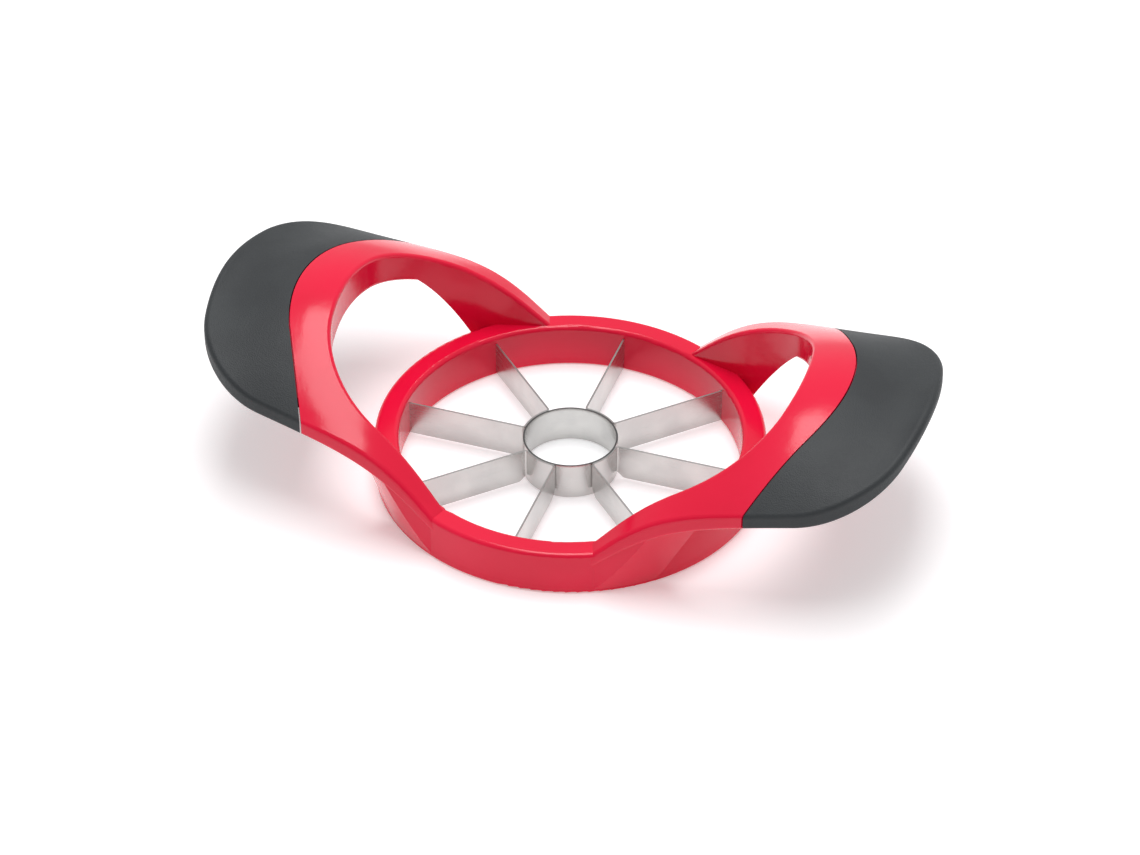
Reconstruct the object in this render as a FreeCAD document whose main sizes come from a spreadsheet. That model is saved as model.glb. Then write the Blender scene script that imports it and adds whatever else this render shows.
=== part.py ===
"""Apple slicer and corer: a round rim with eight steel blades and two arched, gripped wings.

Frame of the part: origin on the counter under the middle of the coring tube, X along the wings,
Y across them, Z up. Millimetres.
"""
import FreeCAD, Part

import math
import os
import Sketcher

V = FreeCAD.Vector

os.makedirs("parts", exist_ok=True)
doc = FreeCAD.newDocument("apple_slicer")

# ---------------------------------------------------------------- driving dimensions
SIZES = {
    # rim
    "rim_inner": 45.0, "rim_outer": 51.3, "rim_height": 12.6,
    "rim_shoulder": 1.2, "rim_foot": 0.9,
    # coring tube
    "core_outer": 12.5, "steel": 0.5, "core_foot": 0.05, "core_bevel_drop": 1.5, "core_bevel": 0.38,
    # blade strips
    "blade_foot": 0.45, "blade_top": 10.45, "blade_reach": 49.2, "bend_inside": 0.5,
    "edge_bevel": 0.18, "edge_bevel_rise": 1.2, "relief_reach": 14.7, "relief_rise": 2.5,
    "anchor_hole": 2.4, "anchor_hole_reach": 47.2,
    # plan of the wing: outer outline, finger hole, end of the red part
    "wing_tip": 96.1, "wing_tip_radius": 80.0, "wing_corner": 27.0,
    "wing_root_out": 20.2, "wing_root_wide": 46.9, "wing_taper": 8.0,
    "hole_tip": 62.0, "hole_tip_radius": 66.0, "hole_corner": 30.0,
    "hole_root_out": 18.0, "hole_root_wide": 41.9, "hole_taper": 16.0,
    "seam_tip": 74.1, "seam_radius": 46.0, "seam_lean": 27.0, "seam_groove": 0.35,
    "wing_blank_height": 80.0,
    # conical flare under the wing arms, and the plan it is trimmed to
    "flare_foot": 0.9, "flare_top": 33.5, "flare_lean": 16.4, "flare_from": 20.0,
    "flare_turn": 48.0, "flare_cover": 1.5,
    "gusset_tip": 95.8, "gusset_tip_radius": 80.0, "gusset_corner": 27.0,
    "gusset_root_out": 20.2, "gusset_root_wide": 46.6, "gusset_taper": 8.0,
    # edges of the wing
    "edge_top_outer": 1.5, "edge_foot_outer": 1.0, "edge_top_hole": 1.0, "edge_foot_hole": 1.2,
    # tongue inside the grip
    "skin": 1.6, "tongue_tip": 90.9, "tongue_tip_radius": 76.0, "tongue_corner": 23.0,
    "tongue_root_out": 44.0, "tongue_root_wide": 38.0, "tongue_taper": 8.0,
    "lock_hole": 5.0, "lock_pitch": 14.0, "lock_out": 81.0,
}

# Cross-sections of the wing, from the rim outwards: distance from the middle, height and
# radius of the crowned top, height and radius of the belly, half width of the blank.
STATION_NAMES = ("out", "crown", "crown_radius", "belly", "belly_radius", "half_width")
STATIONS = (
    (13.0, 8.8, 2000.0, 3.5, 2000.0, 46.0),
    (28.0, 27.2, 127.0, 14.8, 1500.0, 48.5),
    (42.0, 37.2, 102.0, 25.4, 315.0, 48.0),
    (56.0, 43.9, 72.0, 33.1, 126.0, 47.0),
    (76.0, 45.6, 72.0, 38.2, 88.0, 45.0),
    (98.0, 47.9, 53.0, 43.1, 59.0, 32.0),
)
STRIP_ANGLES = (67.5, 157.5, 247.5, 337.5)
HALF_SECTOR = 22.5


def make_sheet():
    """Write every driving dimension to the spreadsheet, one named cell each."""
    cells = doc.addObject("Spreadsheet::Sheet", "Sizes")
    rows = dict(SIZES)
    for number, station in enumerate(STATIONS):
        for name, value in zip(STATION_NAMES, station):
            rows["station_%s_%s" % ("abcdef"[number], name)] = value
    for row, (name, value) in enumerate(rows.items(), start=1):
        cells.set("A%d" % row, name)
        cells.set("B%d" % row, str(value))
        cells.setAlias("B%d" % row, name)
    doc.recompute()
    return cells


sizes = make_sheet()


def size(name):
    return float(sizes.get(name))


# ---------------------------------------------------------------- helpers
def new_body(label):
    body = doc.addObject("PartDesign::Body", label)
    body.Label = label
    return body


def new_sketch(body, name, role, place=None):
    """A sketch on one of the body's own origin planes, with an optional offset placement."""
    plane = [item for item in body.Origin.OriginFeatures if item.Role == role][0]
    sketch = body.newObject("Sketcher::SketchObject", name)
    sketch.AttachmentSupport = [(plane, "")]
    sketch.MapMode = "FlatFace"
    if place is not None:
        sketch.AttachmentOffset = place
    return sketch


def dimension(sketch, kind, name, arguments, formula):
    """A named driving dimension whose value comes from the spreadsheet."""
    index = sketch.addConstraint(Sketcher.Constraint(kind, *arguments))
    sketch.renameConstraint(index, name)
    sketch.setExpression("Constraints." + name, formula)


def join(sketch, pairs):
    for first, first_end, second, second_end in pairs:
        sketch.addConstraint(Sketcher.Constraint("Coincident", first, first_end, second, second_end))


def add_polygon(sketch, corners):
    """Closed polygon; returns the index of its first line."""
    first = sketch.GeometryCount
    count = len(corners)
    for index in range(count):
        start = corners[index]
        end = corners[(index + 1) % count]
        sketch.addGeometry(Part.LineSegment(V(*start, 0), V(*end, 0)))
    join(sketch, [(first + i, 2, first + (i + 1) % count, 1) for i in range(count)])
    return first


def pin(sketch, geometry, end, name, across, up):
    """Fix one end point by two named dimensions from the sketch origin."""
    dimension(sketch, "DistanceX", name + "_x", (-1, 1, geometry, end, 1.0), across)
    dimension(sketch, "DistanceY", name + "_y", (-1, 1, geometry, end, 1.0), up)


def pocket_through(body, sketch, name):
    """Cut a profile drawn on the counter plane upwards through the whole wing."""
    cut = body.newObject("PartDesign::Pocket", name)
    cut.Profile = sketch
    cut.Reversed = True
    cut.setExpression("Length", "Sizes.wing_blank_height")
    doc.recompute()
    return cut


def revolve(body, sketch, name, kind="PartDesign::Revolution", angle=None):
    turn = body.newObject(kind, name)
    turn.Profile = sketch
    turn.ReferenceAxis = (sketch, ["V_Axis"])
    if angle is None:
        turn.Angle = 360.0
    else:
        turn.setExpression("Angle", angle)
    doc.recompute()
    return turn


def edges_that(shape, test):
    return ["Edge%d" % (i + 1) for i, edge in enumerate(shape.Edges) if test(edge)]


def middle(edge):
    first, last = edge.ParameterRange
    return edge.valueAt(0.5 * (first + last))


def round_edges(body, base, names, name, formula):
    fillet = body.newObject("PartDesign::Fillet", name)
    fillet.Refine = False
    fillet.Base = (base, names)
    fillet.setExpression("Radius", formula)
    doc.recompute()
    return fillet


# ---------------------------------------------------------------- plan outlines
def nose_points(tip, tip_radius, corner, root_out, root_wide, taper):
    """Key points of a rounded wing outline: straight side, corner arc, shallow tip arc.

    The corner circle lies one radius inside the side line and one radius inside the tip
    circle, so its centre is where those two inner loci meet.
    """
    slope = math.tan(math.radians(taper))
    tip_centre = tip - tip_radius
    reach = tip_radius - corner
    drop = corner / math.cos(math.radians(taper))
    base = root_wide + slope * root_out - drop
    square = 1 + slope * slope
    half = tip_centre + slope * base
    centre_x = (half + math.sqrt(half * half - square * (tip_centre ** 2 + base ** 2 - reach ** 2))) / square
    centre_y = base - slope * centre_x
    lean = math.radians(90 - taper)
    side_end = (centre_x + corner * math.cos(lean), centre_y + corner * math.sin(lean))
    turn = math.atan2(centre_y, centre_x - tip_centre)
    corner_end = (centre_x + corner * math.cos(turn), centre_y + corner * math.sin(turn))
    return (centre_x, centre_y), side_end, corner_end, lean, turn


def add_nose(sketch, kind):
    """Draw the rounded outline called kind: wing, hole, gusset or tongue; returns its two sides."""
    tip, tip_radius, corner, root_out, root_wide, taper = [
        size("%s_%s" % (kind, part))
        for part in ("tip", "tip_radius", "corner", "root_out", "root_wide", "taper")]
    centre, side_end, corner_end, lean, turn = nose_points(
        tip, tip_radius, corner, root_out, root_wide, taper)
    axis = V(0, 0, 1)
    tip_circle = Part.Circle(V(tip - tip_radius, 0, 0), axis, tip_radius)
    near = Part.Circle(V(centre[0], centre[1], 0), axis, corner)
    far = Part.Circle(V(centre[0], -centre[1], 0), axis, corner)
    first = sketch.GeometryCount
    sketch.addGeometry(Part.LineSegment(V(root_out, root_wide, 0), V(*side_end, 0)))
    sketch.addGeometry(Part.ArcOfCircle(near, turn, lean))
    sketch.addGeometry(Part.ArcOfCircle(tip_circle, -turn, turn))
    sketch.addGeometry(Part.ArcOfCircle(far, -lean, -turn))
    sketch.addGeometry(Part.LineSegment(V(side_end[0], -side_end[1], 0), V(root_out, -root_wide, 0)))
    side, upper, nose, lower, other = range(first, first + 5)
    for pair in ((side, 2, upper, 2), (upper, 1, nose, 2), (nose, 1, lower, 2), (lower, 1, other, 1)):
        sketch.addConstraint(Sketcher.Constraint("Tangent", *pair))
    sketch.addConstraint(Sketcher.Constraint("PointOnObject", nose, 3, -1))
    sketch.addConstraint(Sketcher.Constraint("Equal", upper, lower))
    sketch.addConstraint(Sketcher.Constraint("Symmetric", side, 1, other, 2, -1))
    dimension(sketch, "Radius", "corner", (upper, corner), "Sizes.%s_corner" % kind)
    dimension(sketch, "Radius", "tip_radius", (nose, tip_radius), "Sizes.%s_tip_radius" % kind)
    dimension(sketch, "DistanceX", "tip_centre", (nose, 3, -1, 1, tip_radius - tip),
              "Sizes.%s_tip_radius - Sizes.%s_tip" % (kind, kind))
    pin(sketch, side, 1, "root", "Sizes.%s_root_out" % kind, "Sizes.%s_root_wide" % kind)
    dimension(sketch, "Angle", "taper", (side, math.radians(-taper)), "-1 deg * Sizes.%s_taper" % kind)
    dimension(sketch, "Angle", "other_taper", (other, math.radians(180 + taper)),
              "180 deg + 1 deg * Sizes.%s_taper" % kind)
    return side, other


def outside_cut(body, kind):
    """Remove everything of the blank outside the rounded outline."""
    sketch = new_sketch(body, kind + "_outside", "XY_Plane")
    side, other = add_nose(sketch, kind)
    root = V(size(kind + "_root_out"), size(kind + "_root_wide"), 0)
    inner = V(8.0, size(kind + "_root_wide") + 2.6, 0)
    margin = 70.0
    corners = (root, inner, V(inner.x, margin, 0), V(120.0, margin, 0), V(120.0, -margin, 0),
               V(inner.x, -margin, 0), V(inner.x, -inner.y, 0), V(root.x, -root.y, 0))
    first = sketch.GeometryCount
    for start, end in zip(corners[:-1], corners[1:]):
        sketch.addGeometry(Part.LineSegment(start, end))
    count = len(corners) - 1
    join(sketch, [(first + i, 2, first + i + 1, 1) for i in range(count - 1)])
    join(sketch, [(first, 1, side, 1), (first + count - 1, 2, other, 2)])
    return pocket_through(body, sketch, kind + "_trim")


def finger_hole(body):
    """Cut the finger hole and the space above the blades out of the wing."""
    sketch = new_sketch(body, "hole_outline", "XY_Plane")
    side, other = add_nose(sketch, "hole")
    root = V(size("hole_root_out"), size("hole_root_wide"), 0)
    inner = V(8.0, root.y + 2.8, 0)
    corners = (root, inner, V(inner.x, -inner.y, 0), V(root.x, -root.y, 0))
    first = sketch.GeometryCount
    for start, end in zip(corners[:-1], corners[1:]):
        sketch.addGeometry(Part.LineSegment(start, end))
    join(sketch, [(first, 2, first + 1, 1), (first + 1, 2, first + 2, 1)])
    join(sketch, [(first, 1, side, 1), (first + 2, 2, other, 2)])
    return pocket_through(body, sketch, "finger_hole")


# ---------------------------------------------------------------- the arched wing
def wing_section(body, name, letter, top_drop, belly_rise, inset=0.0, top=None):
    """One cross-section: crowned top, upright sides and belly; drawn on the plane across the wing.

    With a flat top height given, the section is the space above the crown instead.
    """
    place = FreeCAD.Placement(V(0, 0, size("station_%s_out" % letter)), FreeCAD.Rotation())
    sketch = new_sketch(body, name, "YZ_Plane", place)
    sketch.setExpression("AttachmentOffset.Base.z", "Sizes.station_%s_out" % letter)
    half = size("station_%s_half_width" % letter) - inset
    half_formula = "Sizes.station_%s_half_width - %s" % (letter, inset)
    axis = V(0, 0, 1)

    def arc(kind, shift):
        """One crown or belly arc, its centre in the middle plane; returns it and its edge height."""
        radius = size("station_%s_%s_radius" % (letter, kind))
        height = size("station_%s_%s" % (letter, kind)) + shift
        lean = math.acos(half / radius)
        circle = Part.Circle(V(0, height - radius, 0), axis, radius)
        index = sketch.addGeometry(Part.ArcOfCircle(circle, lean, math.pi - lean))
        edge = height - radius + radius * math.sin(lean)
        sketch.addConstraint(Sketcher.Constraint("PointOnObject", index, 3, -2))
        dimension(sketch, "Radius", kind + "_radius", (index, radius),
                  "Sizes.station_%s_%s_radius" % (letter, kind))
        cell = "Sizes.station_%s_%s" % (letter, kind)
        dimension(sketch, "DistanceY", kind + "_centre", (index, 3, -1, 1, radius - height),
                  "%s_radius - %s - (%s)" % (cell, cell, shift))
        return index, edge

    crown, crown_edge = arc("crown", -top_drop)
    if top is None:
        belly, other_edge = arc("belly", belly_rise)
    else:
        belly = sketch.addGeometry(Part.LineSegment(V(half, top, 0), V(-half, top, 0)))
        other_edge = top
        sketch.addConstraint(Sketcher.Constraint("Horizontal", belly))
        dimension(sketch, "DistanceY", "top", (-1, 1, belly, 1, top), "Sizes.wing_blank_height")
    right = sketch.addGeometry(Part.LineSegment(V(half, crown_edge, 0), V(half, other_edge, 0)))
    left = sketch.addGeometry(Part.LineSegment(V(-half, crown_edge, 0), V(-half, other_edge, 0)))
    join(sketch, [(crown, 1, right, 1), (crown, 2, left, 1), (belly, 1, right, 2), (belly, 2, left, 2)])
    sketch.addConstraint(Sketcher.Constraint("Vertical", right))
    sketch.addConstraint(Sketcher.Constraint("Vertical", left))
    dimension(sketch, "DistanceX", "half", (-1, 1, right, 1, half), half_formula)
    dimension(sketch, "DistanceX", "other_half", (left, 1, -1, 1, half), half_formula)
    return sketch


def wing_loft(body, name, kind, top_drop, belly_rise, inset=0.0, top=None):
    """Loft through the cross-sections, added to the body or cut from it."""
    sections = [wing_section(body, "%s_%s" % (name, letter), letter, top_drop, belly_rise, inset, top)
                for letter in "abcdef"]
    doc.recompute()
    loft = body.newObject(kind, name)
    loft.Profile = sections[0]
    loft.Sections = sections[1:]
    doc.recompute()
    return loft


def flare(body, name, start_angle):
    """The gusset under one wing arm: a cone round the rim, leaning outwards from its foot."""
    turn = FreeCAD.Placement(V(0, 0, 0), FreeCAD.Rotation(V(0, 1, 0), start_angle))
    sketch = new_sketch(body, name + "_profile", "XZ_Plane", turn)
    low = size("flare_foot")
    high = size("flare_top")
    inner = size("rim_inner") + size("rim_shoulder") + 0.1
    foot_out = size("rim_outer") - 0.1
    top_out = foot_out + (high - low) * math.tan(math.radians(size("flare_lean")))
    first = add_polygon(sketch, [(inner, low), (foot_out, low), (top_out, high), (inner, high)])
    for line, kind in ((0, "Horizontal"), (2, "Horizontal"), (3, "Vertical")):
        sketch.addConstraint(Sketcher.Constraint(kind, first + line))
    pin(sketch, first, 1, "foot", "Sizes.rim_inner + Sizes.rim_shoulder + 0.1", "Sizes.flare_foot")
    dimension(sketch, "DistanceX", "foot_out", (-1, 1, first, 2, foot_out), "Sizes.rim_outer - 0.1")
    dimension(sketch, "DistanceY", "roof", (-1, 1, first + 2, 1, high), "Sizes.flare_top")
    lean = math.radians(90 - size("flare_lean"))
    dimension(sketch, "Angle", "lean", (first + 1, lean), "90 deg - 1 deg * Sizes.flare_lean")
    return revolve(body, sketch, name, angle="Sizes.flare_turn")


def on_outer_side(point):
    """True where a plan point lies on the outer outline rather than on the finger hole."""
    if point.x > size("hole_tip") + 1.0:
        return True
    middle_line = 44.4 - 0.27 * (point.x - 19.0)
    return abs(point.y) > middle_line


def wing_edges(shape, outer, upper):
    """Edges where an upright wall of the wing meets its crowned top or its belly."""
    names = []
    for index, edge in enumerate(shape.Edges):
        faces = shape.ancestorsOfType(edge, Part.Face)
        upright = [abs(face.normalAt(*face.Surface.parameter(middle(edge))).z) < 0.02 for face in faces]
        if sum(upright) != 1:
            continue
        point = middle(edge)
        if point.x < size("wing_root_out") - 4.0 or on_outer_side(point) != outer:
            continue
        slope = [face.normalAt(*face.Surface.parameter(point)).z
                 for face, wall in zip(faces, upright) if not wall][0]
        if (slope > 0) == upper:
            names.append("Edge%d" % (index + 1))
    return names


def make_arch():
    """The arched slab of the right wing with its rounded edges and its finger hole."""
    body = new_body("arch")
    wing_loft(body, "arch_loft", "PartDesign::AdditiveLoft", 0.0, 0.0)
    step = outside_cut(body, "wing")
    step = round_edges(body, step, wing_edges(step.Shape, True, True), "crown_edge", "Sizes.edge_top_outer")
    step = round_edges(body, step, wing_edges(step.Shape, True, False), "belly_edge", "Sizes.edge_foot_outer")
    step = finger_hole(body)
    step = round_edges(body, step, wing_edges(step.Shape, False, True), "hole_edge", "Sizes.edge_top_hole")
    round_edges(body, step, wing_edges(step.Shape, False, False), "hole_foot", "Sizes.edge_foot_hole")
    return body


def make_gussets():
    """The two flared gussets under the arms, trimmed to the plan of the wing."""
    body = new_body("gussets")
    flare(body, "flare_rear", -(size("flare_from") + size("flare_turn")))
    flare(body, "flare_front", size("flare_from"))
    cover = size("flare_cover")
    wing_loft(body, "above", "PartDesign::SubtractiveLoft", cover, 0.0, top=size("wing_blank_height"))
    outside_cut(body, "gusset")
    finger_hole(body)
    return body


def make_tongue():
    """The thin core of the wing end that the grip is moulded round, with its lock holes."""
    body = new_body("tongue")
    skin = size("skin")
    wing_loft(body, "tongue_loft", "PartDesign::AdditiveLoft", skin, skin, inset=7.0)
    outside_cut(body, "tongue")
    sketch = new_sketch(body, "lock_holes", "XY_Plane")
    pitch = size("lock_pitch")
    out = size("lock_out")
    for row in (-1, 0, 1):
        hole = Part.Circle(V(out, row * pitch, 0), V(0, 0, 1), 0.5 * size("lock_hole"))
        index = sketch.addGeometry(hole)
        dimension(sketch, "Diameter", "hole_%d" % (row + 1), (index, size("lock_hole")), "Sizes.lock_hole")
        dimension(sketch, "DistanceX", "out_%d" % (row + 1), (-1, 1, index, 3, out), "Sizes.lock_out")
        if row == 0:
            sketch.addConstraint(Sketcher.Constraint("PointOnObject", index, 3, -1))
        else:
            dimension(sketch, "DistanceY", "row_%d" % (row + 1), (-1, 1, index, 3, row * pitch),
                      "%d * Sizes.lock_pitch" % row)
    pocket_through(body, sketch, "locks")
    return body


def seam_zone(label, shift):
    """Everything outwards of the curved seam between red part and grip, as an upright block."""
    sketch = doc.addObject("Sketcher::SketchObject", label + "_outline")
    tip = size("seam_tip") + shift
    radius = size("seam_radius")
    lean = math.radians(size("seam_lean"))
    far = 60.0
    centre = V(tip - radius, 0, 0)
    touch = V(centre.x + radius * math.cos(lean), radius * math.sin(lean), 0)
    run = (far - touch.y) / math.cos(lean)
    corner = V(touch.x - run * math.sin(lean), far, 0)
    arc = sketch.addGeometry(Part.ArcOfCircle(Part.Circle(centre, V(0, 0, 1), radius), -lean, lean))
    upper = sketch.addGeometry(Part.LineSegment(touch, corner))
    lower = sketch.addGeometry(Part.LineSegment(V(touch.x, -touch.y, 0), V(corner.x, -far, 0)))
    outer = [V(corner.x, far, 0), V(120, far, 0), V(120, -far, 0), V(corner.x, -far, 0)]
    first = sketch.GeometryCount
    for start, end in zip(outer[:-1], outer[1:]):
        sketch.addGeometry(Part.LineSegment(start, end))
    sketch.addConstraint(Sketcher.Constraint("Tangent", arc, 2, upper, 1))
    sketch.addConstraint(Sketcher.Constraint("Tangent", arc, 1, lower, 1))
    sketch.addConstraint(Sketcher.Constraint("PointOnObject", arc, 3, -1))
    join(sketch, [(upper, 2, first, 1), (first, 2, first + 1, 1), (first + 1, 2, first + 2, 1),
                  (first + 2, 2, lower, 2)])
    dimension(sketch, "Radius", "radius", (arc, radius), "Sizes.seam_radius")
    dimension(sketch, "DistanceX", "centre", (-1, 1, arc, 3, centre.x),
              "Sizes.seam_tip - Sizes.seam_radius + %s" % shift)
    doc.recompute()
    block = doc.addObject("Part::Extrusion", label)
    block.Base = sketch
    block.DirMode = "Custom"
    block.Dir = V(0, 0, 1)
    block.Solid = True
    block.setExpression("LengthFwd", "Sizes.wing_blank_height")
    doc.recompute()
    return block


def fuse(label, shapes):
    joined = doc.addObject("Part::MultiFuse", label)
    joined.Shapes = shapes
    joined.Refine = False
    doc.recompute()
    return joined


def combine(label, kind, base, tool):
    result = doc.addObject(kind, label)
    result.Base = base
    result.Tool = tool
    result.Refine = False
    doc.recompute()
    return result


def mirror(label, source):
    """The same solid on the other side of the plane between the two wings."""
    copy = doc.addObject("Part::Mirroring", label)
    copy.Source = source
    copy.Normal = V(1, 0, 0)
    copy.Base = V(0, 0, 0)
    doc.recompute()
    return copy


# ---------------------------------------------------------------- rim, coring tube, blades
def make_rim():
    """The round rim: an upright band turned about the vertical axis, with eased edges."""
    body = new_body("rim")
    sketch = new_sketch(body, "rim_profile", "XZ_Plane")
    inner = size("rim_inner")
    outer = size("rim_outer")
    height = size("rim_height")
    first = add_polygon(sketch, [(inner, 0), (outer, 0), (outer, height), (inner, height)])
    for line, kind in ((0, "Horizontal"), (1, "Vertical"), (2, "Horizontal"), (3, "Vertical")):
        sketch.addConstraint(Sketcher.Constraint(kind, first + line))
    sketch.addConstraint(Sketcher.Constraint("PointOnObject", first, 1, -1))
    dimension(sketch, "DistanceX", "inner", (-1, 1, first, 1, inner), "Sizes.rim_inner")
    dimension(sketch, "DistanceX", "outer", (-1, 1, first, 2, outer), "Sizes.rim_outer")
    dimension(sketch, "DistanceY", "height", (first + 1, 1, first + 1, 2, height), "Sizes.rim_height")
    band = revolve(body, sketch, "band")
    tops = edges_that(band.Shape, lambda edge: edge.BoundBox.ZMin > height - 0.01)
    step = round_edges(body, band, tops, "shoulder", "Sizes.rim_shoulder")
    feet = edges_that(step.Shape, lambda edge: edge.BoundBox.ZMax < 0.01)
    round_edges(body, step, feet, "foot", "Sizes.rim_foot")
    return body


def make_core_ring():
    """The coring tube: a thin steel band, bevelled on the inside down to its cutting edge."""
    body = new_body("core_ring")
    sketch = new_sketch(body, "core_profile", "XZ_Plane")
    outer = size("core_outer")
    inner = outer - size("steel")
    foot = size("core_foot")
    top = size("blade_top")
    bevel = foot + size("core_bevel_drop")
    edge = inner + size("core_bevel")
    first = add_polygon(sketch, [(edge, foot), (outer, foot), (outer, top), (inner, top), (inner, bevel)])
    for line, kind in ((0, "Horizontal"), (1, "Vertical"), (2, "Horizontal"), (3, "Vertical")):
        sketch.addConstraint(Sketcher.Constraint(kind, first + line))
    pin(sketch, first, 2, "corner", "Sizes.core_outer", "Sizes.core_foot")
    dimension(sketch, "DistanceX", "edge", (-1, 1, first, 1, edge),
              "Sizes.core_outer - Sizes.steel + Sizes.core_bevel")
    dimension(sketch, "DistanceX", "inner", (-1, 1, first + 3, 1, inner), "Sizes.core_outer - Sizes.steel")
    dimension(sketch, "DistanceY", "top", (-1, 1, first + 3, 1, top), "Sizes.blade_top")
    dimension(sketch, "DistanceY", "bevel", (-1, 1, first + 4, 1, bevel),
              "Sizes.core_foot + Sizes.core_bevel_drop")
    revolve(body, sketch, "tube")
    return body


def strip_profile(body):
    """Plan of one folded strip: two straight blades joined by an arc that hugs the tube."""
    sketch = new_sketch(body, "strip_plan", "XY_Plane")
    steel = size("steel")
    inner = size("core_outer")
    outer = inner + steel
    reach = size("blade_reach")
    half = 0.5 * steel
    lean = math.radians(HALF_SECTOR)

    def on_blade(out, aside, sign):
        """Point at distance out along the blade, aside from its middle towards the sector middle."""
        x = out * math.cos(lean) + aside * math.sin(lean)
        y = out * math.sin(lean) - aside * math.cos(lean)
        return V(x, sign * y, 0)

    near = math.sqrt(inner ** 2 - half ** 2)
    far = math.sqrt(outer ** 2 - half ** 2)
    outside = [on_blade(near, -half, sign) for sign in (1, -1)]
    inside = [on_blade(far, half, sign) for sign in (1, -1)]
    outside_end = [on_blade(reach, -half, sign) for sign in (1, -1)]
    inside_end = [on_blade(reach, half, sign) for sign in (1, -1)]
    hug = math.atan2(outside[0].y, outside[0].x)
    clear = math.atan2(inside[0].y, inside[0].x)
    axis = V(0, 0, 1)
    origin = V(0, 0, 0)
    sketch.addGeometry(Part.ArcOfCircle(Part.Circle(origin, axis, inner), -hug, hug))
    sketch.addGeometry(Part.ArcOfCircle(Part.Circle(origin, axis, outer), -clear, clear))
    for index in (0, 1):
        sketch.addGeometry(Part.LineSegment(outside[index], outside_end[index]))
        sketch.addGeometry(Part.LineSegment(outside_end[index], inside_end[index]))
        sketch.addGeometry(Part.LineSegment(inside_end[index], inside[index]))
    join(sketch, [(0, 2, 2, 1), (2, 2, 3, 1), (3, 2, 4, 1), (4, 2, 1, 2),
                  (0, 1, 5, 1), (5, 2, 6, 1), (6, 2, 7, 1), (7, 2, 1, 1),
                  (0, 3, -1, 1), (1, 3, -1, 1)])
    sketch.addConstraint(Sketcher.Constraint("Symmetric", 2, 2, 5, 2, -1))
    sketch.addConstraint(Sketcher.Constraint("Symmetric", 4, 1, 7, 1, -1))
    for pair in ((2, 3), (3, 4), (6, 7)):
        sketch.addConstraint(Sketcher.Constraint("Perpendicular", *pair))
    dimension(sketch, "Radius", "hug", (0, inner), "Sizes.core_outer")
    dimension(sketch, "Radius", "clear", (1, outer), "Sizes.core_outer + Sizes.steel")
    dimension(sketch, "Distance", "thickness", (3, steel), "Sizes.steel")
    dimension(sketch, "DistanceX", "reach", (-1, 1, 2, 2, outside_end[0].x),
              "Sizes.blade_reach * cos(%s deg) - Sizes.steel / 2 * sin(%s deg)" % (HALF_SECTOR, HALF_SECTOR))
    dimension(sketch, "DistanceY", "spread", (-1, 1, 2, 2, outside_end[0].y),
              "Sizes.blade_reach * sin(%s deg) + Sizes.steel / 2 * cos(%s deg)" % (HALF_SECTOR, HALF_SECTOR))
    dimension(sketch, "Angle", "lean", (2, lean), "%s deg" % HALF_SECTOR)
    dimension(sketch, "Angle", "other_lean", (5, -lean), "-%s deg" % HALF_SECTOR)
    return sketch


def blade_edge_cut(body, sign):
    """Bevel both faces of one blade down to a thin lower edge."""
    along = FreeCAD.Rotation(V(0, 0, 1), 90 + sign * HALF_SECTOR)
    upright = FreeCAD.Rotation(V(1, 0, 0), 90)
    sketch = new_sketch(body, "bevel", "XY_Plane", FreeCAD.Placement(V(0, 0, 0), along * upright))
    half = 0.5 * size("steel")
    foot = size("blade_foot") - 0.05
    rise = size("blade_foot") + size("edge_bevel_rise")
    edge = half - size("edge_bevel")
    wide = half + 0.4
    for side in (1, -1):
        first = add_polygon(sketch, [(side * edge, foot), (side * wide, foot),
                                     (side * wide, rise), (side * half, rise)])
        for line, kind in ((0, "Horizontal"), (1, "Vertical"), (2, "Horizontal")):
            sketch.addConstraint(Sketcher.Constraint(kind, first + line))
        name = "near" if side > 0 else "far"
        pin(sketch, first, 1, name + "_edge", "%d * (Sizes.steel / 2 - Sizes.edge_bevel)" % side,
            "Sizes.blade_foot - 0.05")
        pin(sketch, first + 3, 1, name + "_rise", "%d * Sizes.steel / 2" % side,
            "Sizes.blade_foot + Sizes.edge_bevel_rise")
        dimension(sketch, "DistanceX", name + "_wide", (-1, 1, first + 1, 1, side * wide),
                  "%d * (Sizes.steel / 2 + 0.4)" % side)
    cut = body.newObject("PartDesign::Pocket", "bevel_cut")
    cut.Profile = sketch
    cut.Reversed = True
    cut.setExpression("Length", "Sizes.blade_reach + 2")
    doc.recompute()


def anchor_holes(body, sign):
    """Two holes near the outer end of one blade, which the rim plastic flows through."""
    turn = FreeCAD.Placement(V(0, 0, 0), FreeCAD.Rotation(V(0, 1, 0), sign * HALF_SECTOR))
    sketch = new_sketch(body, "anchors", "XZ_Plane", turn)
    foot = size("blade_foot")
    tall = size("blade_top") - foot
    for share in (0.25, 0.75):
        circle = Part.Circle(V(size("anchor_hole_reach"), foot + share * tall, 0), V(0, 0, 1),
                             0.5 * size("anchor_hole"))
        index = sketch.addGeometry(circle)
        name = "low" if share < 0.5 else "high"
        dimension(sketch, "Diameter", name, (index, size("anchor_hole")), "Sizes.anchor_hole")
        pin(sketch, index, 3, name + "_centre", "Sizes.anchor_hole_reach",
            "Sizes.blade_foot + %s * (Sizes.blade_top - Sizes.blade_foot)" % share)
    cut = body.newObject("PartDesign::Pocket", "anchor_cut")
    cut.Profile = sketch
    cut.Midplane = True
    cut.Length = 2.0
    doc.recompute()


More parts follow.
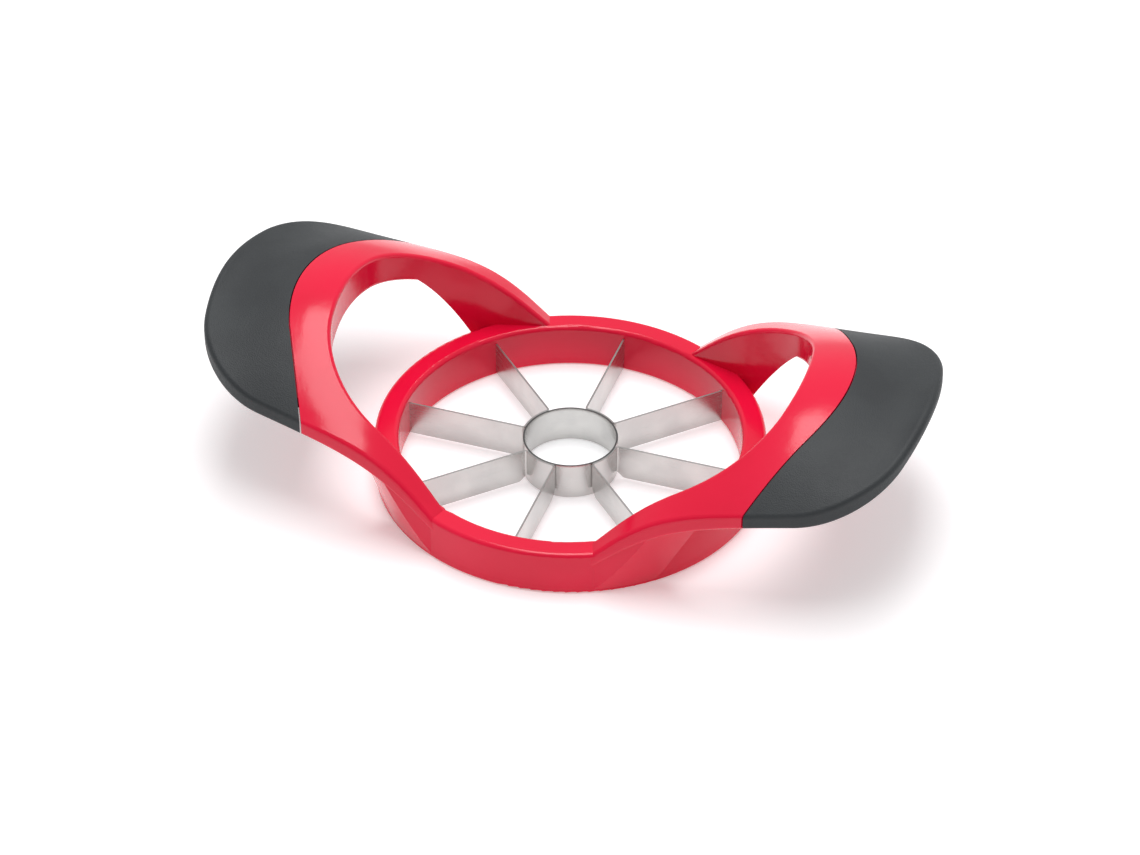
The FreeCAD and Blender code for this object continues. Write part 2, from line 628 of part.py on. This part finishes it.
def make_strip(number, angle):
    """One folded blade strip: padded plan, rounded bends, relief at the bends, anchors, bevels."""
    body = new_body("blade_strip_%d" % number)
    sketch = strip_profile(body)
    sketch.AttachmentOffset = FreeCAD.Placement(V(0, 0, size("blade_foot")), FreeCAD.Rotation())
    sketch.setExpression("AttachmentOffset.Base.z", "Sizes.blade_foot")
    pad = body.newObject("PartDesign::Pad", "strip")
    pad.Profile = sketch
    pad.setExpression("Length", "Sizes.blade_top - Sizes.blade_foot")
    doc.recompute()
    reach = size("core_outer") + 2 * size("steel")

    def bend(edge, inside):
        """True for the upright edges at the bends, on the inside or on the outside of the fold."""
        point = middle(edge)
        out = math.hypot(point.x, point.y)
        upright = edge.BoundBox.ZLength > 5
        return upright and out < reach and (out > size("core_outer") + 0.2) == inside

    step = round_edges(body, pad, edges_that(pad.Shape, lambda edge: bend(edge, True)), "bend_inside",
                       "Sizes.bend_inside")
    step = round_edges(body, step, edges_that(step.Shape, lambda edge: bend(edge, False)), "bend_outside",
                       "Sizes.bend_inside + Sizes.steel")
    relief = new_sketch(body, "relief_profile", "XZ_Plane")
    inner = size("core_outer") - 0.3
    low = size("blade_foot") - 0.3
    high = size("relief_rise")
    add_polygon(relief, [(inner, low), (size("relief_reach"), low), (inner, high)])
    revolve(body, relief, "relief", "PartDesign::Groove")
    for sign in (1, -1):
        blade_edge_cut(body, sign)
        anchor_holes(body, sign)
    body.Placement = FreeCAD.Placement(V(0, 0, 0), FreeCAD.Rotation(V(0, 0, 1), angle))
    doc.recompute()
    return body


# ---------------------------------------------------------------- the assembly
def check_state(item):
    """Stop when an object of the document could not be computed."""
    if "Invalid" in item.State or "Error" in item.State:
        raise RuntimeError("%s is broken: %s" % (item.Label, item.State))


def check_shape(item):
    """Stop when a sub-part's shape is empty or invalid."""
    if item.Shape.isNull() or not item.Shape.isValid():
        raise RuntimeError("%s has a broken shape" % item.Label)
    print("%-18s %9.1f mm3  %d solid(s)" % (item.Label, item.Shape.Volume, len(item.Shape.Solids)))


arch = make_arch()
whole_wing = fuse("whole_wing", [arch, make_gussets()])
red_wing = combine("red_wing", "Part::Cut", whole_wing, seam_zone("seam_zone", 0.0))
tongue = combine("tongue_end", "Part::Common", make_tongue(), seam_zone("tongue_zone", -3.0))
wing_right = fuse("wing_right", [red_wing, tongue])
wing_left = mirror("wing_left", wing_right)
strips = [make_strip(number, angle) for number, angle in enumerate(STRIP_ANGLES, start=1)]
frame_solid = fuse("frame_solid", [make_rim(), wing_right, wing_left])
frame = combine("frame", "Part::Cut", frame_solid, fuse("all_strips", strips))
grip_solid = combine("grip_solid", "Part::Common", arch, seam_zone("grip_zone", size("seam_groove")))
grip_right = combine("grip_right", "Part::Cut", grip_solid, tongue)
grip_left = mirror("grip_left", grip_right)
core_ring = make_core_ring()

nodes = [frame, grip_right, grip_left, core_ring] + strips
for item in doc.Objects:
    check_state(item)
print(len(doc.Objects), "objects computed")
for item in [whole_wing, red_wing, tongue, wing_right, frame_solid] + nodes:
    check_shape(item)
for node in nodes:
    node.Shape.exportStep("parts/%s.step" % node.Label)
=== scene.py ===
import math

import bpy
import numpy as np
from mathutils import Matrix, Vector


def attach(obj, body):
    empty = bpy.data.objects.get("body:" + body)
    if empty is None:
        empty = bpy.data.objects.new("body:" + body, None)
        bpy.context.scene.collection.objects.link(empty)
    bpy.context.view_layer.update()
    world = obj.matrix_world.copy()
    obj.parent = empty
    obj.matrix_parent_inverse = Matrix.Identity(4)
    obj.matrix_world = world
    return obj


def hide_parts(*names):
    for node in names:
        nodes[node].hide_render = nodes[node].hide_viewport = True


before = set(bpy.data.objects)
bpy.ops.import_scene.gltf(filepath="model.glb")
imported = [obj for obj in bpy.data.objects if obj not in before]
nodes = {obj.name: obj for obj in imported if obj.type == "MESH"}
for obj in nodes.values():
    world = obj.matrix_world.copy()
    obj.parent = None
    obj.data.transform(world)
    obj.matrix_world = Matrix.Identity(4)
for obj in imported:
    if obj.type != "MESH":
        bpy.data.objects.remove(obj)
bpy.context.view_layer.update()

# %% [markdown]
# # An apple slicer and corer
# This lesson dresses a kitchen tool: a round red rim with two arched wings, a soft black grip
# moulded over the end of each wing, a steel coring tube in the middle, and four folded strips
# of thin steel that make the eight blades. The solid model was loaded above, in metres, with
# its origin on the counter under the middle of the tube. Nothing that is added later may
# change the size of the tool.

MM = 0.001
STEEL = 0.5 * MM
TUBE_OUTER = 12.5 * MM
BLADE_TOP = 10.45 * MM

# %% [markdown]
# ## The camera
# The tool is seen from its front, a little to the right and well above it, through a long lens,
# so that the near side of the rim is hardly larger than the far side. A camera is easiest to
# repeat from four plain facts: how far round it stands, how high, how far away, and what it
# looks at. Its matrix is written from its own three axes, so no constraint is needed.


# %% The camera's place and lens
def stand_camera(round_deg, high_deg, roll_deg, distance, target, lens):
    """Axes from the two angles: back points from the target to the camera, right is level."""
    turn, lift, roll = (math.radians(a) for a in (round_deg, high_deg, roll_deg))
    level = math.cos(lift)
    back = Vector((math.sin(turn) * level, -math.cos(turn) * level, math.sin(lift)))
    right = Vector((math.cos(turn), math.sin(turn), 0))
    up = back.cross(right)
    right, up = (right * math.cos(roll) + up * math.sin(roll),
                 up * math.cos(roll) - right * math.sin(roll))
    data = bpy.data.cameras.new("camera")
    data.lens, data.sensor_width = lens, 36.0
    data.clip_start, data.clip_end = 0.05, 50.0
    camera = bpy.data.objects.new("camera", data)
    bpy.context.scene.collection.objects.link(camera)
    camera.matrix_world = Matrix.LocRotScale(
        Vector(target) + back * distance, Matrix((right, up, back)).transposed(), None)
    bpy.context.scene.camera = camera
    return camera


camera = stand_camera(18.54, 38.137, 0.217, 1.03141, (-0.00204, 0.00568, 0.00868), 123.5)
print("camera stands at", [round(v, 3) for v in camera.location])

# %% [markdown]
# ## Node groups that several finishes share
# Three small effects appear in more than one finish, so each is a node group, built once and
# placed in a material with its own values. "fine grain" gives a height for a Bump node, as a
# spark-etched mould leaves on plastic and rubber. "uneven gloss" gives a roughness that drifts a
# little, because no handled surface shines evenly. "colour drift" mixes two close colours in
# soft clouds, as pigment does in a moulding.


# %% Helpers for nodes
def put(tree, kind, **values):
    """Add one node; a value whose name is an input goes to that socket, others are properties."""
    made = tree.nodes.new(kind)
    for name, value in values.items():
        socket = made.inputs.get(name.replace("_", " "))
        if socket is None:
            setattr(made, name, value)
        else:
            socket.default_value = value
    return made


def new_group(name, inputs, outputs):
    """A shader node group with named sockets; returns its tree and its two end nodes."""
    tree = bpy.data.node_groups.new(name, "ShaderNodeTree")
    for label, kind, value in inputs:
        socket = tree.interface.new_socket(label, in_out="INPUT", socket_type=kind)
        if value is not None:
            socket.default_value = value
    for label, kind in outputs:
        tree.interface.new_socket(label, in_out="OUTPUT", socket_type=kind)
    return tree, tree.nodes.new("NodeGroupInput"), tree.nodes.new("NodeGroupOutput")


def calculate(tree, operation, first, second):
    """A Math node; each operand is a socket or a plain number."""
    made = put(tree, "ShaderNodeMath", operation=operation)
    for slot, operand in enumerate((first, second)):
        if isinstance(operand, (int, float)):
            made.inputs[slot].default_value = operand
        else:
            tree.links.new(operand, made.inputs[slot])
    return made.outputs[0]


def mix_colours(tree, share, first, second):
    """A Mix node for colours; second is a socket or a plain colour."""
    made = put(tree, "ShaderNodeMix", data_type="RGBA")
    first_slot, second_slot = made.inputs[6], made.inputs[7]
    tree.links.new(share, made.inputs["Factor"])
    tree.links.new(first, first_slot)
    if isinstance(second, tuple):
        second_slot.default_value = second
    else:
        tree.links.new(second, second_slot)
    return made.outputs[2]


# %% The group "fine grain"
FLOAT, VECTOR, COLOUR = "NodeSocketFloat", "NodeSocketVector", "NodeSocketColor"


def make_fine_grain():
    """Height = noise + pits * distance to the nearest cell point, at so many grains per metre."""
    tree, start, end = new_group(
        "fine grain",
        [("Vector", VECTOR, None), ("Grains per metre", FLOAT, 2500.0), ("Pits", FLOAT, 0.4)],
        [("Height", FLOAT)])
    noise = put(tree, "ShaderNodeTexNoise", Detail=4.0, Roughness=0.6)
    cells = put(tree, "ShaderNodeTexVoronoi")
    for texture in (noise, cells):
        tree.links.new(start.outputs["Vector"], texture.inputs["Vector"])
        tree.links.new(start.outputs["Grains per metre"], texture.inputs["Scale"])
    pits = calculate(tree, "MULTIPLY", cells.outputs["Distance"], start.outputs["Pits"])
    height = calculate(tree, "ADD", noise.outputs["Fac"], pits)
    tree.links.new(height, end.inputs["Height"])
    return tree


# %% The group "uneven gloss"
def make_uneven_gloss():
    """Roughness = middle value + spread * (cloud noise - 1/2) + spread / 2 * (fine noise - 1/2)."""
    tree, start, end = new_group(
        "uneven gloss",
        [("Vector", VECTOR, None), ("Middle", FLOAT, 0.3), ("Spread", FLOAT, 0.1),
         ("Clouds per metre", FLOAT, 40.0)],
        [("Roughness", FLOAT)])
    broad = put(tree, "ShaderNodeTexNoise", Detail=3.0)
    fine = put(tree, "ShaderNodeTexNoise", Scale=900.0, Detail=2.0)
    tree.links.new(start.outputs["Vector"], broad.inputs["Vector"])
    tree.links.new(start.outputs["Vector"], fine.inputs["Vector"])
    tree.links.new(start.outputs["Clouds per metre"], broad.inputs["Scale"])
    large = calculate(tree, "SUBTRACT", broad.outputs["Fac"], 0.5)
    small = calculate(tree, "SUBTRACT", fine.outputs["Fac"], 0.5)
    both = calculate(tree, "ADD", large, calculate(tree, "MULTIPLY", small, 0.5))
    drift = calculate(tree, "MULTIPLY", both, start.outputs["Spread"])
    tree.links.new(calculate(tree, "ADD", drift, start.outputs["Middle"]), end.inputs["Roughness"])
    return tree


# %% The group "colour drift"
def make_colour_drift():
    """Colour = mix of two colours by a smooth cloud noise."""
    tree, start, end = new_group(
        "colour drift",
        [("Vector", VECTOR, None), ("Main", COLOUR, None), ("Other", COLOUR, None),
         ("Clouds per metre", FLOAT, 30.0)],
        [("Color", COLOUR)])
    cloud = put(tree, "ShaderNodeTexNoise", Detail=4.0)
    tree.links.new(start.outputs["Vector"], cloud.inputs["Vector"])
    tree.links.new(start.outputs["Clouds per metre"], cloud.inputs["Scale"])
    spread = put(tree, "ShaderNodeMapRange", interpolation_type="SMOOTHSTEP")
    spread.inputs["From Min"].default_value = 0.35
    spread.inputs["From Max"].default_value = 0.65
    tree.links.new(cloud.outputs["Fac"], spread.inputs["Value"])
    mixed = mix_colours(tree, spread.outputs["Result"], start.outputs["Main"], start.outputs["Other"])
    tree.links.new(mixed, end.inputs["Color"])
    return tree


group_trees = (make_fine_grain(), make_uneven_gloss(), make_colour_drift())
GROUPS = {tree.name: tree for tree in group_trees}
print("node groups:", sorted(GROUPS))


# %% Helpers for materials
def place_group(tree, name, vector, **values):
    """Put a shared group in a material and feed it the pattern's coordinates."""
    made = tree.nodes.new("ShaderNodeGroup")
    made.node_tree = GROUPS[name]
    tree.links.new(vector, made.inputs["Vector"])
    for label, value in values.items():
        made.inputs[label.replace("_", " ")].default_value = value
    return made


def start_material(name):
    """A material with one Principled shader; returns the material, its tree and that shader."""
    material = bpy.data.materials.new(name)
    material.use_nodes = True
    tree = material.node_tree
    shader = next(n for n in tree.nodes if n.type == "BSDF_PRINCIPLED")
    return material, tree, shader


def bump(tree, shader, height, strength, distance):
    """Tilt the shader's normal by a height pattern; distance is its full height in metres."""
    made = put(tree, "ShaderNodeBump", Strength=strength, Distance=distance)
    tree.links.new(height, made.inputs["Height"])
    tree.links.new(made.outputs["Normal"], shader.inputs["Normal"])


# %% [markdown]
# ## The red plastic
# The rim and wings are one moulding in a glossy plastic coloured all through. Its colour is very
# full, its surface shines, and the mould leaves the faintest ripple in the shine. Two close
# reds in soft clouds, a gloss that drifts, and a shallow slow ripple give that.

# %% The red finish
def make_red_plastic():
    material, tree, shader = start_material("red_moulding")
    where = put(tree, "ShaderNodeTexCoord").outputs["Object"]
    drift = place_group(tree, "colour drift", where, Main=(0.80, 0.005, 0.044, 1),
                        Other=(0.75, 0.004, 0.038, 1), Clouds_per_metre=35.0)
    gloss = place_group(tree, "uneven gloss", where, Middle=0.17, Spread=0.06, Clouds_per_metre=45.0)
    grain = place_group(tree, "fine grain", where, Grains_per_metre=420.0, Pits=0.1)
    tree.links.new(drift.outputs["Color"], shader.inputs["Base Color"])
    tree.links.new(gloss.outputs["Roughness"], shader.inputs["Roughness"])
    bump(tree, shader, grain.outputs["Height"], 0.12, 0.0002)
    shader.inputs["IOR"].default_value = 1.5
    shader.inputs["Specular IOR Level"].default_value = 0.36
    return material


# %% [markdown]
# ## The black grips
# The grips are a soft rubber-like plastic moulded over the wing ends. It is a very dark grey, not
# black, with a fine dull grain that spreads highlights wide.

# %% The grip finish
def make_grip_rubber():
    material, tree, shader = start_material("soft_grip")
    where = put(tree, "ShaderNodeTexCoord").outputs["Object"]
    drift = place_group(tree, "colour drift", where, Main=(0.030, 0.034, 0.037, 1),
                        Other=(0.024, 0.027, 0.030, 1), Clouds_per_metre=60.0)
    gloss = place_group(tree, "uneven gloss", where, Middle=0.55, Spread=0.12, Clouds_per_metre=70.0)
    grain = place_group(tree, "fine grain", where, Grains_per_metre=2800.0, Pits=0.5)
    tree.links.new(drift.outputs["Color"], shader.inputs["Base Color"])
    tree.links.new(gloss.outputs["Roughness"], shader.inputs["Roughness"])
    bump(tree, shader, grain.outputs["Height"], 0.40, 0.0002)
    shader.inputs["IOR"].default_value = 1.45
    return material


# %% [markdown]
# ## The rolled steel
# The strips are cut from bright rolled stainless steel. Rolling leaves very fine lines along the
# strip, so the grain is a noise stretched along the strip's own length: the first coordinate of
# the piece's UV map runs along the strip in metres, the second up it. Where the strip was sheared
# its top edge stays rough, and there the colour is also mixed to near-black as painted shade for a
# dark line along the rim; a point attribute says how much of both each point gets.

# %% The steel finish
def make_steel():
    material, tree, shader = start_material("rolled_steel")
    own = put(tree, "ShaderNodeUVMap", uv_map="along").outputs["UV"]
    stretch = put(tree, "ShaderNodeMapping", Scale=(60.0, 9000.0, 1.0))
    tree.links.new(own, stretch.inputs["Vector"])
    lines = put(tree, "ShaderNodeTexNoise", Scale=1.0, Detail=5.0, Roughness=0.65)
    tree.links.new(stretch.outputs["Vector"], lines.inputs["Vector"])
    drift = place_group(tree, "colour drift", own, Main=(0.61, 0.60, 0.585, 1),
                        Other=(0.54, 0.53, 0.52, 1), Clouds_per_metre=90.0)
    # Edge share: near-black painted shade along the rim line, plus the sheared steel's roughness.
    rough_edge_and_shade = put(tree, "ShaderNodeAttribute", attribute_name="rough_edge_and_shade").outputs["Fac"]
    colour = mix_colours(tree, rough_edge_and_shade, drift.outputs["Color"], (0.10, 0.10, 0.10, 1))
    tree.links.new(colour, shader.inputs["Base Color"])
    spread = put(tree, "ShaderNodeMapRange")
    spread.inputs["To Min"].default_value = 0.16
    spread.inputs["To Max"].default_value = 0.34
    tree.links.new(lines.outputs["Fac"], spread.inputs["Value"])
    rough = calculate(tree, "ADD", spread.outputs["Result"], calculate(tree, "MULTIPLY", rough_edge_and_shade, 0.3))
    tree.links.new(rough, shader.inputs["Roughness"])
    bump(tree, shader, lines.outputs["Fac"], 0.25, 0.00003)
    shader.inputs["Metallic"].default_value = 1.0
    return material


red_moulding, soft_grip, rolled_steel = make_red_plastic(), make_grip_rubber(), make_steel()
print("finishes:", [m.name for m in (red_moulding, soft_grip, rolled_steel)])


# %% [markdown]
# ## From arrays to pieces
# The two steel pieces are computed as grids of points, so two helpers are enough for them. One
# lists the quads of a grid and can close it in either direction. The other puts the arrays into
# a mesh, gives each point its place along the strip and its share of sheared roughness and painted
# shade, and marks as sharp every edge that turns more than 35 degrees.


# %% Helpers for surfaces
def grid_faces(rows, columns, close_rows, close_columns):
    """Quads between neighbouring grid points; a closed direction wraps to its start."""
    index = np.arange(rows * columns).reshape(rows, columns)
    if close_rows:
        index = np.vstack([index, index[:1]])
    if close_columns:
        index = np.hstack([index, index[:, :1]])
    quads = np.stack([index[:-1, :-1], index[1:, :-1], index[1:, 1:], index[:-1, 1:]], -1)
    return quads.reshape(-1, 4)


def make_piece(name, points, faces, uv, rough_edge_and_shade, material, caps=()):
    """A mesh object from computed arrays; uv is one pair per point, caps are extra polygons.

    The per-point edge share, from 0 to 1, says how rough each point is from shearing and how far
    painted shade darkens it.
    """
    mesh = bpy.data.meshes.new(name)
    mesh.from_pydata(points.tolist(), [], [tuple(f) for f in faces.tolist()] + list(caps))
    layer = mesh.uv_layers.new(name="along")
    corner = np.empty(len(mesh.loops), np.int32)
    mesh.loops.foreach_get("vertex_index", corner)
    layer.data.foreach_set("uv", uv[corner].astype(np.float32).ravel())
    rough_and_shaded_layer = mesh.attributes.new("rough_edge_and_shade", "FLOAT", "POINT")
    rough_and_shaded_layer.data.foreach_set("value", rough_edge_and_shade.astype(np.float32))
    mesh.materials.append(material)
    mesh.validate()
    made = bpy.data.objects.new(name, mesh)
    bpy.context.scene.collection.objects.link(made)
    mesh.polygons.foreach_set("use_smooth", np.ones(len(mesh.polygons), bool))
    mesh.set_sharp_from_angle(angle=math.radians(35))
    print(name, "has", len(mesh.vertices), "points and", len(mesh.polygons), "faces")
    return made


# %% [markdown]
# ## The coring tube
# The tube is a band of the same steel rolled round and joined. It is a closed profile turned
# about the upright axis. The profile's lower edge is ground on its inside to a thin cutting
# edge, and its upper edge is sheared and only broken at its corners.

# %% Turn the tube
def make_tube(outer, steel, foot, top, turns):
    """Point = (r cos a, r sin a, z) for each profile point (r, z) and each angle a."""
    inner = outer - steel
    middle = 0.5 * (foot + top)
    ground, rise = 0.38 * MM, 1.62 * MM
    corner, ease, below = 0.12 * MM, 0.04 * MM, 0.03 * MM
    profile = np.array([
        (inner + ground, foot), (outer - 0.05 * MM, foot), (outer, foot + 0.06 * MM),
        (outer, foot + 1.2 * MM), (outer, middle), (outer, top - 1.0 * MM),
        (outer, top - corner), (outer - ease, top - below), (outer - corner, top),
        (inner + corner, top), (inner + ease, top - below), (inner, top - corner),
        (inner, top - 1.0 * MM), (inner, middle),
        (inner, foot + rise), (inner + 0.02 * MM, foot + rise - 0.17 * MM)])
    angle = np.linspace(0, 2 * np.pi, turns, endpoint=False)
    r, z = profile[:, 0], profile[:, 1]
    points = np.stack([np.cos(angle)[:, None] * r, np.sin(angle)[:, None] * r,
                       np.broadcast_to(z, (turns, len(z)))], -1).reshape(-1, 3)
    uv = np.stack([np.repeat(angle * outer, len(z)), np.tile(z + 0.3 * r, turns)], -1)
    # The top lip takes the whole edge share: sheared roughness and near-black painted shade.
    rough_edge_and_shade = np.tile(z > top - 0.05 * MM, turns)
    return points, grid_faces(turns, len(z), True, True), uv, rough_edge_and_shade


tube_foot = 0.05 * MM
points, faces, uv, rough_edge_and_shade = make_tube(TUBE_OUTER, STEEL, tube_foot, BLADE_TOP, turns=256)
tube = make_piece("coring_tube", points, faces, uv, rough_edge_and_shade, rolled_steel)
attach(tube, "root")
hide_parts("core_ring")

# %% [markdown]
# ## The blade strips
# Each strip makes two neighbouring blades: it comes in along one blade, turns round a tight
# bend, hugs the tube for an eighth of a turn, and goes out along the other blade. The plan
# of its middle line is straight, arc, arc, arc, straight, so a point of it is known from the
# distance along it. A thin upright section with a ground lower edge is carried along that line.


# %% The plan of a strip's middle line
def strip_plan(reach, hug, bend, half_angle):
    """Points along the middle line, spaced closely at the bends.

    The bend's circle touches both the blade's line and the circle round the tube, so its middle
    is at distance hug + bend from the axis and one bend radius beside the blade's line.
    """
    off = math.asin(bend / (hug + bend))
    straight = math.sqrt((hug + bend) ** 2 - bend ** 2)
    centre_angle = half_angle - off
    centre = (hug + bend) * np.array([math.cos(centre_angle), math.sin(centre_angle)])
    out = np.array([math.cos(half_angle), math.sin(half_angle)])
    far = np.linspace(reach, straight, 60)[:, None] * out
    begin = half_angle + math.pi / 2
    end = centre_angle + math.pi
    turn = np.linspace(begin, end, 12)[1:]
    knee = centre + bend * np.stack([np.cos(turn), np.sin(turn)], -1)
    wrap = np.linspace(centre_angle, 0, 14)[1:]
    round_tube = hug * np.stack([np.cos(wrap), np.sin(wrap)], -1)
    half = np.vstack([far, knee, round_tube])
    return np.vstack([half, half[-2::-1] * (1, -1)])


blade_reach, bend_radius, half_angle = 49.2 * MM, 0.75 * MM, math.radians(22.5)
plan = strip_plan(blade_reach, TUBE_OUTER + 0.5 * STEEL, bend_radius, half_angle)
steps = np.linalg.norm(np.diff(plan, axis=0), axis=1)
print("length of one strip, mm:", round(1000 * steps.sum(), 1))


# %% Carry the section along the plan
def make_strip(plan, angle, steel, foot, top, number):
    """Point = plan point + offset * left normal, at a height between the foot and the top.

    The foot rises near the tube, where the strip is trimmed so that it can be folded:
    foot(r) = highest of the plain foot and a straight slope that falls outwards.
    """
    along = np.gradient(plan, axis=0)
    along /= np.linalg.norm(along, axis=1)[:, None]
    left = np.stack([-along[:, 1], along[:, 0]], -1)
    out = np.linalg.norm(plan, axis=1)
    rise, start, run_out = 2.5 * MM, 12.6 * MM, 2.2 * MM
    low = np.maximum(foot, rise - (rise - foot) / run_out * (out - start))
    half = 0.5 * steel
    side = np.array([0.28, 1.0, 1.0, 1.0, 1.0, 0.72, 0.0])
    offset = np.concatenate([side, -side[-2::-1]]) * half
    share = np.array([0.0, 0.0, 0.35, 0.7, 1.0, 1.0, 1.0])
    share = np.concatenate([share, share[-2::-1]])
    extra = np.array([0.0, 1.2, 0.8, 0.4, -0.09, -0.02, 0.0]) * MM
    extra = np.concatenate([extra, extra[-2::-1]])
    height = low[:, None] * (1 - share) + top * share + extra
    flat = plan[:, None, :] + left[:, None, :] * offset[None, :, None]
    turn = math.radians(angle)
    spin = np.array([[math.cos(turn), math.sin(turn)], [-math.sin(turn), math.cos(turn)]])
    points = np.concatenate([flat @ spin, height[..., None]], -1)
    run = np.concatenate([[0], np.cumsum(np.linalg.norm(np.diff(plan, axis=0), axis=1))])
    own_start = 0.2 * number
    uv = np.stack([np.broadcast_to(run[:, None], height.shape) + own_start,
                   height + offset * 2], -1).reshape(-1, 2)
    rows, columns = height.shape
    faces = grid_faces(rows, columns, False, True)
    caps = [tuple(range(columns)), tuple(range((rows - 1) * columns, rows * columns))[::-1]]
    # The top edges take part of the same sheared roughness and painted shade.
    rough_edge_and_shade = 0.45 * (height > top - 0.05 * MM)
    return points.reshape(-1, 3), faces, uv, caps, rough_edge_and_shade.ravel()


blade_foot = 0.45 * MM
for number, angle in enumerate((67.5, 157.5, 247.5, 337.5), start=1):
    points, faces, uv, caps, rough_edge_and_shade = make_strip(plan, angle, STEEL, blade_foot, BLADE_TOP, number)
    strip = make_piece("folded_strip_%d" % number, points, faces, uv, rough_edge_and_shade, rolled_steel, caps)
    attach(strip, "root")
    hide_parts("blade_strip_%d" % number)

# %% [markdown]
# ## The moulding and the grips
# The solid model already has the right shapes here, down to the rounded edges and the groove at
# the seam, so these three pieces keep their meshes and only get their finishes.

# %% Finish the moulding and the grips
for name, finish in (("frame", red_moulding), ("grip_right", soft_grip), ("grip_left", soft_grip)):
    nodes[name].data.materials.clear()
    nodes[name].data.materials.append(finish)
    print(name, "is finished in", finish.name)

# %% [markdown]
# ## The studio
# The tool stands on a white table lit a little from within, so shadows stay faint. The room is
# dim in front and bright behind. One long soft box hangs overhead, and its reflection lies pale on
# the left wing.


# %% The table
def make_floor():
    """One square at height 0, its corners 6 m out."""
    mesh = bpy.data.meshes.new("floor")
    far = 6.0
    corners = [(-far, -far, 0), (far, -far, 0), (far, far, 0), (-far, far, 0)]
    mesh.from_pydata(corners, [], [(0, 1, 2, 3)])
    material, tree, shader = start_material("pale_paper")
    where = put(tree, "ShaderNodeTexCoord").outputs["Object"]
    drift = place_group(tree, "colour drift", where, Main=(0.86, 0.86, 0.87, 1),
                        Other=(0.85, 0.85, 0.86, 1), Clouds_per_metre=3.0)
    tree.links.new(drift.outputs["Color"], shader.inputs["Base Color"])
    shader.inputs["Roughness"].default_value = 0.9
    shader.inputs["Specular IOR Level"].default_value = 0.1
    shader.inputs["Emission Color"].default_value = (1, 1, 1, 1)
    shader.inputs["Emission Strength"].default_value = 0.30
    mesh.materials.append(material)
    floor = bpy.data.objects.new("floor", mesh)
    bpy.context.scene.collection.objects.link(floor)
    return floor


make_floor()


# %% The lamp
def soft_box(name, place, aim, wide, tall, watts):
    """A rectangular area lamp at place, its face turned to the point aim."""
    data = bpy.data.lights.new(name, "AREA")
    data.shape, data.size, data.size_y = "RECTANGLE", wide, tall
    data.energy = watts
    lamp = bpy.data.objects.new(name, data)
    lamp.location = place
    lamp.rotation_euler = (Vector(aim) - Vector(place)).to_track_quat("-Z", "Y").to_euler()
    bpy.context.scene.collection.objects.link(lamp)
    return lamp


overhead = soft_box("overhead", (-0.03, 0.12, 1.15), (0, 0, 0), 0.5, 1.0, 9.3)
print(overhead.name, "hangs at", [round(v, 2) for v in overhead.location])


# %% The room
def make_room():
    """World brightness = a map of d = 0.75 z + 0.65 y, from the dim front to the bright back."""
    room = bpy.data.worlds.new("room")
    room.use_nodes = True
    tree = room.node_tree
    where = put(tree, "ShaderNodeTexCoord").outputs["Generated"]
    axes = put(tree, "ShaderNodeSeparateXYZ")
    tree.links.new(where, axes.inputs["Vector"])
    high = calculate(tree, "MULTIPLY", axes.outputs["Z"], 0.75)
    deep = calculate(tree, "MULTIPLY", axes.outputs["Y"], 0.65)
    level = put(tree, "ShaderNodeMapRange", interpolation_type="SMOOTHSTEP")
    for label, value in (("From Min", -0.6), ("From Max", 0.9), ("To Min", 0.22), ("To Max", 0.66)):
        level.inputs[label].default_value = value
    tree.links.new(calculate(tree, "ADD", high, deep), level.inputs["Value"])
    tree.links.new(level.outputs["Result"], tree.nodes["Background"].inputs["Strength"])
    tree.nodes["Background"].inputs["Color"].default_value = (1, 1, 1, 1)
    bpy.context.scene.world = room


make_room()
view = bpy.context.scene.view_settings
view.view_transform, view.look = "Standard", "None"
view.exposure, view.gamma = 0.0, 1.0
